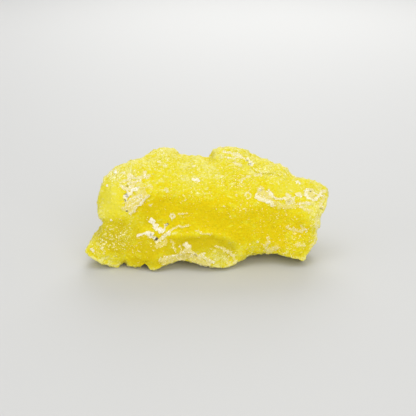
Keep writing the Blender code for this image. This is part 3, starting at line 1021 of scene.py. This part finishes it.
def frosting(bench, grain, near):
    """How much a place is frosted with pale specks of crystal, thick where the sugar is."""
    sugar = bench.on_piece("sugar")
    speckled = weighed(
        bench,
        bench.maths("MULTIPLY", sugar, SPECKS_ON_SUGAR),
        *grained(grain, Stroke=1.3, Mottle=0.6, Grain=0.4),
        (near, 0.0, SPECKS_ON_PROUD),
    )
    dust = bench.maths("MULTIPLY", bench.between(speckled, *DUSTY), MOST_DUST)
    haze = bench.maths("MULTIPLY", bench.between(grain["Speck"], *HAZY), MOST_HAZE)
    dust = bench.maths("MAXIMUM", dust, haze)
    # The more sugar, the more cells hold a pale crystal.
    gathered = bench.maths("MULTIPLY", bench.between(grain["Cloud"], *GATHERED), GATHERED_MORE)
    thick = bench.maths("MULTIPLY", sugar, gathered)
    rare = bench.maths("SUBTRACT", RARE, bench.maths("MULTIPLY", thick, LESS_RARE))
    chosen = bench.between(grain["Chance"], rare, bench.maths("ADD", rare, CHANCE_FADE))
    dots = bench.maths("MULTIPLY", grain["Dot"], chosen)
    specks = bench.maths("MAXIMUM", dust, dots)
    share = weighed(bench, FROST_ON_BARE, (sugar, 0.0, FROST_ON_SUGAR))
    return bench.maths("MULTIPLY", specks, share)


def with_rock(bench, grain, colour):
    """The colour with scabs of rock, cream and half clear with white strands, and how far they show."""
    crust = bench.on_piece("crust")
    laid = weighed(bench, crust, *grained(grain, Mottle=0.9, Speck=0.8))
    shown = bench.maths("MULTIPLY", bench.between(laid, *ROCK_LAID), bench.between(crust, *ROCK_NEAR))
    strand = bench.between(grain["Strand"], *STRANDED)
    white = weighed(
        bench,
        bench.on_piece("white"),
        (strand, STRAND_MIDDLE, STRAND_WHITER),
        *grained(grain, Speck=1.2),
    )
    white = bench.maths("ADD", white, 0.0, clamp=True)
    rock = bench.mixed(white, CREAM, ROCK_WHITE)
    solid = bench.maths("ADD", bench.maths("MULTIPLY", white, WHITE_MORE_SOLID), CREAM_SOLID)
    return bench.mixed(bench.maths("MULTIPLY", shown, solid), colour, rock), shown


def with_pits(bench, grain, colour):
    """The colour with the pits, where grains fell out of the rock: painted shade in the dark ones, the
    rock's own grey in the grey ones.
    """
    pit_colour = bench.mixed(bench.on_piece("grey"), PAINTED_PIT_SHADE, PIT_GREY)
    # How dark the painted shade in each pit is.
    pitted = bench.on_piece("dark")
    shade = bench.between(weighed(bench, pitted, *grained(grain, Speck=0.5)), *PIT_SHADE)
    shade = bench.maths("MULTIPLY", shade, bench.between(pitted, *PIT_NEAR))
    return bench.mixed(shade, colour, pit_colour)


def brucite_material():
    material, bench, shader, grain = start_material("yellow_brucite")
    near = bench.on_piece("proud_near")
    lively = bench.maths("SUBTRACT", 1.0, bench.on_piece("even"))
    colour = mottled_yellow(bench, grain, near, lively)
    colour = with_gaps_and_hollow_shade(bench, grain, near, lively, colour)
    colour = with_painted_rim_glow(bench, colour)
    frost = frosting(bench, grain, near)
    colour = bench.mixed(frost, colour, FROST)
    colour, rock = with_rock(bench, grain, colour)
    colour = with_pits(bench, grain, colour)
    bench.feed(shader.inputs["Base Color"], colour)
    rough = weighed(
        bench,
        SKIN_ROUGHNESS,
        (rock, 0.0, ROCK_ROUGHER),
        *grained(grain, Speck=0.5),
        (frost, 0.0, FROST_SMOOTHER),
    )
    bench.feed(shader.inputs["Roughness"], rough)
    height = weighed(bench, 0.0, *grained(grain, Speck=1.0, Grain=0.5, Mottle=0.8))
    roughened(bench, shader, height, SKIN_BUMP_STRENGTH, SKIN_BUMP)
    glassy(shader, SKIN_GLOW)
    return material


yellow_brucite = brucite_material()
stone = fine_skin(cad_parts["brucite"])
ease_face(stone.data)
shape_skin(stone.data)
mark_skin(stone.data)
relief = stone.modifiers.new("relief", "NODES")
relief.node_group = relief_tree(yellow_brucite)
set_sizes(relief, RELIEF)
settle(stone)
mark_edges(stone.data)
stone.data.shade_smooth()
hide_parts("brucite")
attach(stone, "root")

# ---------------------------------------------------------------------------------------------------------
# The crumbs. Angular grains of the cream and white host rock, still stuck on the scabs where the rest of
# the rock flaked off. Each lies at its own slant, half sunk in its scab.
# ---------------------------------------------------------------------------------------------------------

CRUMBS = {
    "Per Square Metre": 1.1e7,
    "Smallest": 0.20 * MM,
    "Largest": 0.60 * MM,
}
CRUMB_SEED = 5
CRUMB_NOISE = 3.0  # bumps of the noise in one unit
CRUMB_UNEVEN = 0.35  # how far its corners are off, as a share of its radius
CRUMB_WHITE_MIDDLE, CRUMB_WHITER = 0.5, 0.7
CRUMB_ROUGHNESS = 0.7
CRUMB_SHINE = 0.2
CRUMB_BUMP = 0.1 * MM
CRUMB_BUMP_STRENGTH = 0.5

# What is the same for the copies of all small shapes.
CROWDING = 2.0  # the power that gathers them where the skin's value is high
MOSTLY_SMALL = 2.0  # the power that makes the small ones many and the large ones few
TURN = 6.28  # a whole turn
NARROWEST = (0.45, 0.45, 0.7)
WIDEST = (0.8, 0.8, 1.4)


def crumb_mesh():
    """An uneven lump one unit across, with 20 faces."""
    mesh = bpy.data.meshes.new("crumb")
    shape = bmesh.new()
    bmesh.ops.create_icosphere(shape, subdivisions=1, radius=0.5)
    for corner in shape.verts:
        corner.co *= 1.0 + CRUMB_UNEVEN * noise.noise(corner.co * CRUMB_NOISE)
    shape.to_mesh(mesh)
    shape.free()
    return mesh


def scatter_tree(name, kind, material, sizes, where, seed):
    """Scatters turned copies of one small shape over the skin, thickest where the named value is high."""
    bench, given, result = new_geometry_tree(name, sizes)
    skin = given.outputs[0]
    share = bench.maths("POWER", named_float(bench, where), CROWDING)
    density = bench.maths("MULTIPLY", share, given.outputs["Per Square Metre"])
    points = bench.add("GeometryNodeDistributePointsOnFaces", Mesh=skin, Density=density, Seed=seed)

    def chance(data_type, low, high, step):
        """A chance value between low and high for each copy."""
        node = bench.add("FunctionNodeRandomValue", {"data_type": data_type}, Seed=seed + step)
        sockets = [socket for socket in node.inputs if socket.enabled]
        sockets[0].default_value, sockets[1].default_value = low, high
        return next(socket for socket in node.outputs if socket.enabled)

    skewed = bench.maths("POWER", chance("FLOAT", 0.0, 1.0, 1), MOSTLY_SMALL)
    span = bench.maths("SUBTRACT", given.outputs["Largest"], given.outputs["Smallest"])
    scale = bench.maths("ADD", given.outputs["Smallest"], bench.maths("MULTIPLY", skewed, span))
    copies = bench.add(
        "GeometryNodeInstanceOnPoints",
        Points=points.outputs["Points"],
        Instance=bench.add("GeometryNodeObjectInfo", Object=kind).outputs["Geometry"],
        Rotation=chance("FLOAT_VECTOR", (0.0, 0.0, 0.0), (TURN, TURN, TURN), 2),
        Scale=bench.scaled(chance("FLOAT_VECTOR", NARROWEST, WIDEST, 3), scale),
    )
    toned = bench.add(
        "GeometryNodeStoreNamedAttribute",
        {"data_type": "FLOAT", "domain": "INSTANCE"},
        Geometry=copies.outputs[0],
        Name="tone",
        Value=chance("FLOAT", 0.0, 1.0, 4),
    )
    real = bench.add("GeometryNodeRealizeInstances", Geometry=toned.outputs[0])
    made = bench.add("GeometryNodeSetMaterial", Geometry=real.outputs[0], Material=material)
    bench.feed(result.inputs[0], made.outputs[0])
    return bench.tree


def scattered(name, kind_mesh, material, sizes, where, seed):
    """A piece of scattered copies, as a plain mesh that stays above the ground."""
    kind = add_object(name + "_kind", kind_mesh)
    piece = add_object(name, stone.data.copy())
    growth = piece.modifiers.new("growth", "NODES")
    growth.node_group = scatter_tree(name, kind, material, sizes, where, seed)
    set_sizes(growth, sizes)
    settle(piece)
    bpy.data.objects.remove(kind)
    points = points_of(piece.data)
    points[:, 2] = np.maximum(points[:, 2], 0.0)
    move_points(piece.data, points)
    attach(piece, "root")


def rock_material():
    material, bench, shader, grain = start_material("host_rock")
    white = bench.on_piece("white")
    tone = weighed(
        bench,
        bench.on_piece("tone"),
        *grained(grain, Mottle=0.6),
        (white, CRUMB_WHITE_MIDDLE, CRUMB_WHITER),
    )
    bench.feed(shader.inputs["Base Color"], ramped(bench, tone, (0.0, CREAM), (1.0, ROCK_WHITE)))
    rough = weighed(bench, CRUMB_ROUGHNESS, *grained(grain, Speck=0.4))
    bench.feed(shader.inputs["Roughness"], rough)
    roughened(bench, shader, grain["Grain"], CRUMB_BUMP_STRENGTH, CRUMB_BUMP)
    shader.inputs["Specular IOR Level"].default_value = CRUMB_SHINE
    return material


scattered("crust_crumbs", crumb_mesh(), rock_material(), CRUMBS, "crust", CRUMB_SEED)

# ---------------------------------------------------------------------------------------------------------
# The sugar. Small stubby crystals of brucite, paler than the mass and glassy, standing out of the skin all
# over, and thickest along the broken rim and on the toe. They grew there, each at its own slant.
# ---------------------------------------------------------------------------------------------------------

SUGAR = {
    "Per Square Metre": 1.1e7,
    "Smallest": 0.25 * MM,
    "Largest": 0.60 * MM,
}
SUGAR_SEED = 11
SUGAR_TONE, THICK_SUGAR_TONE = 0.18, 1.25
CRYSTAL_SIDES = 6
CRYSTAL_WAIST = 0.4  # from its axis to a corner, for a crystal one unit long
SUGAR_ROUGHNESS = 0.32
SUGAR_GLOW = 0.6 * MM

# The colours of a crystal, from the thin sugar to the thick: (tone, colour).
SUGAR_COLOURS = (
    (0.0, LEMON),
    (0.5, PALE),
    (0.82, RIM),
    (0.95, FROST),
    (1.0, ROCK_WHITE),
)


def crystal_mesh():
    """A stubby six-sided crystal, one unit long, with a point at each end."""
    mesh = bpy.data.meshes.new("crystal")
    shape = bmesh.new()
    turns = np.arange(CRYSTAL_SIDES) * np.pi / (CRYSTAL_SIDES / 2)
    around = np.stack((np.cos(turns), np.sin(turns), 0.0 * turns), axis=1)
    ring = [shape.verts.new(CRYSTAL_WAIST * corner) for corner in around]
    top = shape.verts.new((0.0, 0.0, 0.5))
    foot = shape.verts.new((0.0, 0.0, -0.5))
    for here, there in zip(ring, ring[1:] + ring[:1]):
        shape.faces.new((here, there, top))
        shape.faces.new((there, here, foot))
    shape.to_mesh(mesh)
    shape.free()
    return mesh


def sugar_material():
    material, bench, shader, grain = start_material("brucite_sugar")
    thick = weighed(bench, SUGAR_TONE, (bench.on_piece("sugar"), 0.0, THICK_SUGAR_TONE))
    tone = bench.maths("MULTIPLY", bench.on_piece("tone"), thick)
    tone = weighed(bench, tone, *grained(grain, Speck=0.5))
    bench.feed(shader.inputs["Base Color"], ramped(bench, tone, *SUGAR_COLOURS))
    rough = weighed(bench, SUGAR_ROUGHNESS, *grained(grain, Speck=0.4))
    bench.feed(shader.inputs["Roughness"], rough)
    glassy(shader, SUGAR_GLOW)
    return material


scattered("sugar", crystal_mesh(), sugar_material(), SUGAR, "sugar", SUGAR_SEED)

# ---------------------------------------------------------------------------------------------------------
# The studio, which is no part of the stone. A pale matt floor, soft lights overhead, in front, on the left
# and behind, a pale sky, and a camera with a long lens.
# ---------------------------------------------------------------------------------------------------------

FLOOR_SIDE = 3.0
FLOOR_COLOUR = (0.58, 0.58, 0.57, 1.0)
FLOOR_ROUGHNESS = 0.7
SKY_COLOUR = (0.9, 0.9, 0.9, 1.0)
SKY_STRENGTH = 0.75
FOCAL_LENGTH = 86.5
LIGHTS_AIM = Vector((0.0, 0.0, 0.0155))

# The lights: (name, place, side, power).
LIGHTS = (
    ("overhead", (-0.05, -0.12, 0.55), 0.40, 0.72),
    ("front", (0.20, -0.6, 0.25), 0.5, 2.0),
    ("left", (-0.55, -0.28, 0.16), 0.4, 0.45),
    ("behind", (0.05, 0.45, 0.30), 0.35, 1.1),
)


def pale_floor():
    mesh = bpy.data.meshes.new("floor")
    shape = bmesh.new()
    bmesh.ops.create_grid(shape, x_segments=1, y_segments=1, size=FLOOR_SIDE / 2)
    shape.to_mesh(mesh)
    shape.free()
    material = bpy.data.materials.new("pale_floor")
    material.use_nodes = True
    shader = material.node_tree.nodes["Principled BSDF"]
    shader.inputs["Base Color"].default_value = FLOOR_COLOUR
    shader.inputs["Roughness"].default_value = FLOOR_ROUGHNESS
    mesh.materials.append(material)
    return add_object("floor", mesh)


def soft_light(name, place, side, power):
    lamp = bpy.data.lights.new(name, "AREA")
    lamp.shape = "SQUARE"
    lamp.size = side
    lamp.energy = power
    holder = add_object(name, lamp)
    holder.location = place
    holder.rotation_euler = (Vector(place) - LIGHTS_AIM).to_track_quat("Z", "Y").to_euler()


pale_floor()
for light in LIGHTS:
    soft_light(*light)

world = bpy.data.worlds.new("studio")
world.use_nodes = True
sky = world.node_tree.nodes["Background"]
sky.inputs["Color"].default_value = SKY_COLOUR
sky.inputs["Strength"].default_value = SKY_STRENGTH
bpy.context.scene.world = world
bpy.context.scene.view_settings.view_transform = "Standard"

lens = bpy.data.cameras.new("camera")
lens.lens = FOCAL_LENGTH
camera = add_object("camera", lens)
camera.location = EYE
camera.rotation_euler = (radians(90.0) - EYE_DOWN, 0.0, 0.0)
bpy.context.scene.camera = camera
